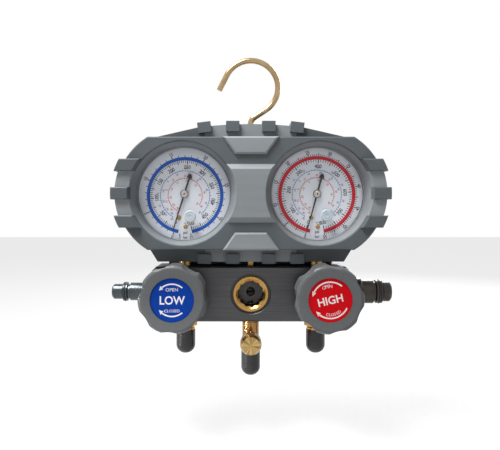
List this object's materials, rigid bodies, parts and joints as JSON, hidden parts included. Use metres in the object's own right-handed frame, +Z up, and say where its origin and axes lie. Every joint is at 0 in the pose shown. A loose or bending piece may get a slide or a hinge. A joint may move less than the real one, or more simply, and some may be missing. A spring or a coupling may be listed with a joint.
{
  "type": "refrigerant manifold gauge",
  "caption": "Two-valve refrigerant gauge manifold: dial gauges in a grey lugged housing over a bar with hand valves, a sight glass, capped flare ports and a hanging hook.",
  "frame": {"origin": "underside of the hook's bend, where the set hangs", "axes": "+Z up, +X to the user's right, -Y towards the user"},
  "size_m": [0.1982, 0.056, 0.2264],
  "materials": {
    "bar_anodised": "brushed along its length and anodised dark",
    "shell_light_grey": "light grey moulded plastic",
    "skin_dark_grey": "dark grey soft overmould",
    "cover_grey": "dark grey moulded plastic",
    "screw_steel": "zinc plated",
    "brass": "machined",
    "bronze_tube": "drawn bronze",
    "black_rubber": "moulded",
    "clear_glass": "polished",
    "clear_lens": "clear polycarbonate",
    "milky_plug": "translucent",
    "cap_black": "glossy black",
    "hook_wire": "yellow zinc plated wire",
    "case_black": "black paint",
    "bright_steel": "bright turned steel",
    "dial_white": "white enamel, printed",
    "needle_black": "black paint",
    "knob_grey": "grey moulded plastic",
    "label_blue": "printed blue label",
    "label_red": "printed red label",
    "post_steel": "dark plated, turned",
    "post_bronze": "dark bronze plated, turned"
  },
  "bodies": {
    "root": {"manifold_bar": "bar_anodised", "boot_shell": "shell_light_grey", "boot_overmould": "skin_dark_grey", "rear_cover": "cover_grey", "cover_screws": "screw_steel", "dial_screws": "brass", "stem_rings": "black_rubber", "sight_ring": "brass", "sight_glass": "clear_glass", "sight_gasket": "black_rubber", "centre_tee": "brass", "valve_core": "brass", "post_rings": "black_rubber", "hook_nut": "brass", "low_gauge_case": "case_black", "low_gauge_socket": "brass", "low_bourdon_tube": "bronze_tube", "low_movement_frame": "brass", "low_dial": "dial_white", "low_lens": "clear_lens", "low_lens_plug": "milky_plug", "low_bonnet": "brass", "low_port_fitting": "brass", "high_gauge_case": "case_black", "high_gauge_socket": "brass", "high_bourdon_tube": "bronze_tube", "high_movement_frame": "brass", "high_dial": "dial_white", "high_lens": "clear_lens", "high_lens_plug": "milky_plug", "high_bonnet": "brass", "high_port_fitting": "brass", "low_parking_post": "post_steel", "high_parking_post": "post_bronze"},
    "service_cap_body": {"service_cap": "brass"},
    "centre_cap_body": {"centre_cap": "cap_black"},
    "hook_body": {"hook": "hook_wire"},
    "low_needle_body": {"low_needle": "needle_black", "low_pinion": "bright_steel"},
    "low_sector_body": {"low_sector_gear": "brass"},
    "low_link_body": {"low_link": "bright_steel"},
    "low_seat_body": {"low_valve_seat": "black_rubber"},
    "low_valve_body": {"low_knob": "knob_grey", "low_knob_label": "label_blue", "low_knob_screw": "screw_steel", "low_valve_stem": "bright_steel"},
    "low_cap_body": {"low_port_cap": "cap_black"},
    "high_needle_body": {"high_needle": "needle_black", "high_pinion": "bright_steel"},
    "high_sector_body": {"high_sector_gear": "brass"},
    "high_link_body": {"high_link": "bright_steel"},
    "high_seat_body": {"high_valve_seat": "black_rubber"},
    "high_valve_body": {"high_knob": "knob_grey", "high_knob_label": "label_red", "high_knob_screw": "screw_steel", "high_valve_stem": "bright_steel"},
    "high_cap_body": {"high_port_cap": "cap_black"}
  },
  "joints": [
    {"name": "hook_swivel", "type": "hinge", "parent": "root", "child": "hook_body", "pos_m": [0, 0, -0.09], "axis": [0, 0, 1], "continuous": true},
    {"name": "centre_cap_pull", "type": "slide", "parent": "root", "child": "centre_cap_body", "axis": [0, 0, -1], "range_m": [0, 0.018]},
    {"name": "service_cap_pull", "type": "slide", "parent": "root", "child": "service_cap_body", "axis": [0, -1, 0], "range_m": [0, 0.012]},
    {"name": "low_needle_turn", "type": "hinge", "parent": "root", "child": "low_needle_body", "pos_m": [-0.0463, 0, -0.0936], "axis": [0, 1, 0], "range_deg": [-9.5, 333]},
    {"name": "low_sector_swing", "type": "hinge", "parent": "root", "child": "low_sector_body", "pos_m": [-0.0463, 0, -0.11048], "axis": [0, 1, 0], "range_deg": [-42.02, 1.59]},
    {"name": "low_link_swing", "type": "hinge", "parent": "low_sector_body", "child": "low_link_body", "pos_m": [-0.04808, 0, -0.11515], "axis": [0, 1, 0], "range_deg": [-1.59, 42.02]},
    {"name": "low_seat_travel", "type": "slide", "parent": "root", "child": "low_seat_body", "axis": [0, -1, 0], "range_m": [0, 0.0026]},
    {"name": "low_knob_turn", "type": "hinge", "parent": "low_seat_body", "child": "low_valve_body", "pos_m": [-0.051, 0, -0.163], "axis": [0, -1, 0], "range_deg": [0, 720]},
    {"name": "low_cap_pull", "type": "slide", "parent": "root", "child": "low_cap_body", "axis": [0, 0, -1], "range_m": [0, 0.018]},
    {"name": "high_needle_turn", "type": "hinge", "parent": "root", "child": "high_needle_body", "pos_m": [0.0463, 0, -0.0936], "axis": [0, 1, 0], "range_deg": [-5, 333]},
    {"name": "high_sector_swing", "type": "hinge", "parent": "root", "child": "high_sector_body", "pos_m": [0.0463, 0, -0.11048], "axis": [0, 1, 0], "range_deg": [-42.02, 1.02]},
    {"name": "high_link_swing", "type": "hinge", "parent": "high_sector_body", "child": "high_link_body", "pos_m": [0.04452, 0, -0.11515], "axis": [0, 1, 0], "range_deg": [-1.02, 42.02]},
    {"name": "high_seat_travel", "type": "slide", "parent": "root", "child": "high_seat_body", "axis": [0, -1, 0], "range_m": [0, 0.0026]},
    {"name": "high_knob_turn", "type": "hinge", "parent": "high_seat_body", "child": "high_valve_body", "pos_m": [0.051, 0, -0.163], "axis": [0, -1, 0], "range_deg": [0, 720]},
    {"name": "high_cap_pull", "type": "slide", "parent": "root", "child": "high_cap_body", "axis": [0, 0, -1], "range_m": [0, 0.018]}
  ],
  "couplings": [
    {"joint": "low_sector_swing", "follows": "low_needle_turn", "ratio": -0.125},
    {"joint": "low_link_swing", "follows": "low_needle_turn", "ratio": 0.125},
    {"joint": "low_seat_travel", "follows": "low_knob_turn", "m_per_rad": 0.00019894},
    {"joint": "high_sector_swing", "follows": "high_needle_turn", "ratio": -0.125},
    {"joint": "high_link_swing", "follows": "high_needle_turn", "ratio": 0.125},
    {"joint": "high_seat_travel", "follows": "high_knob_turn", "m_per_rad": 0.00019894}
  ]
}
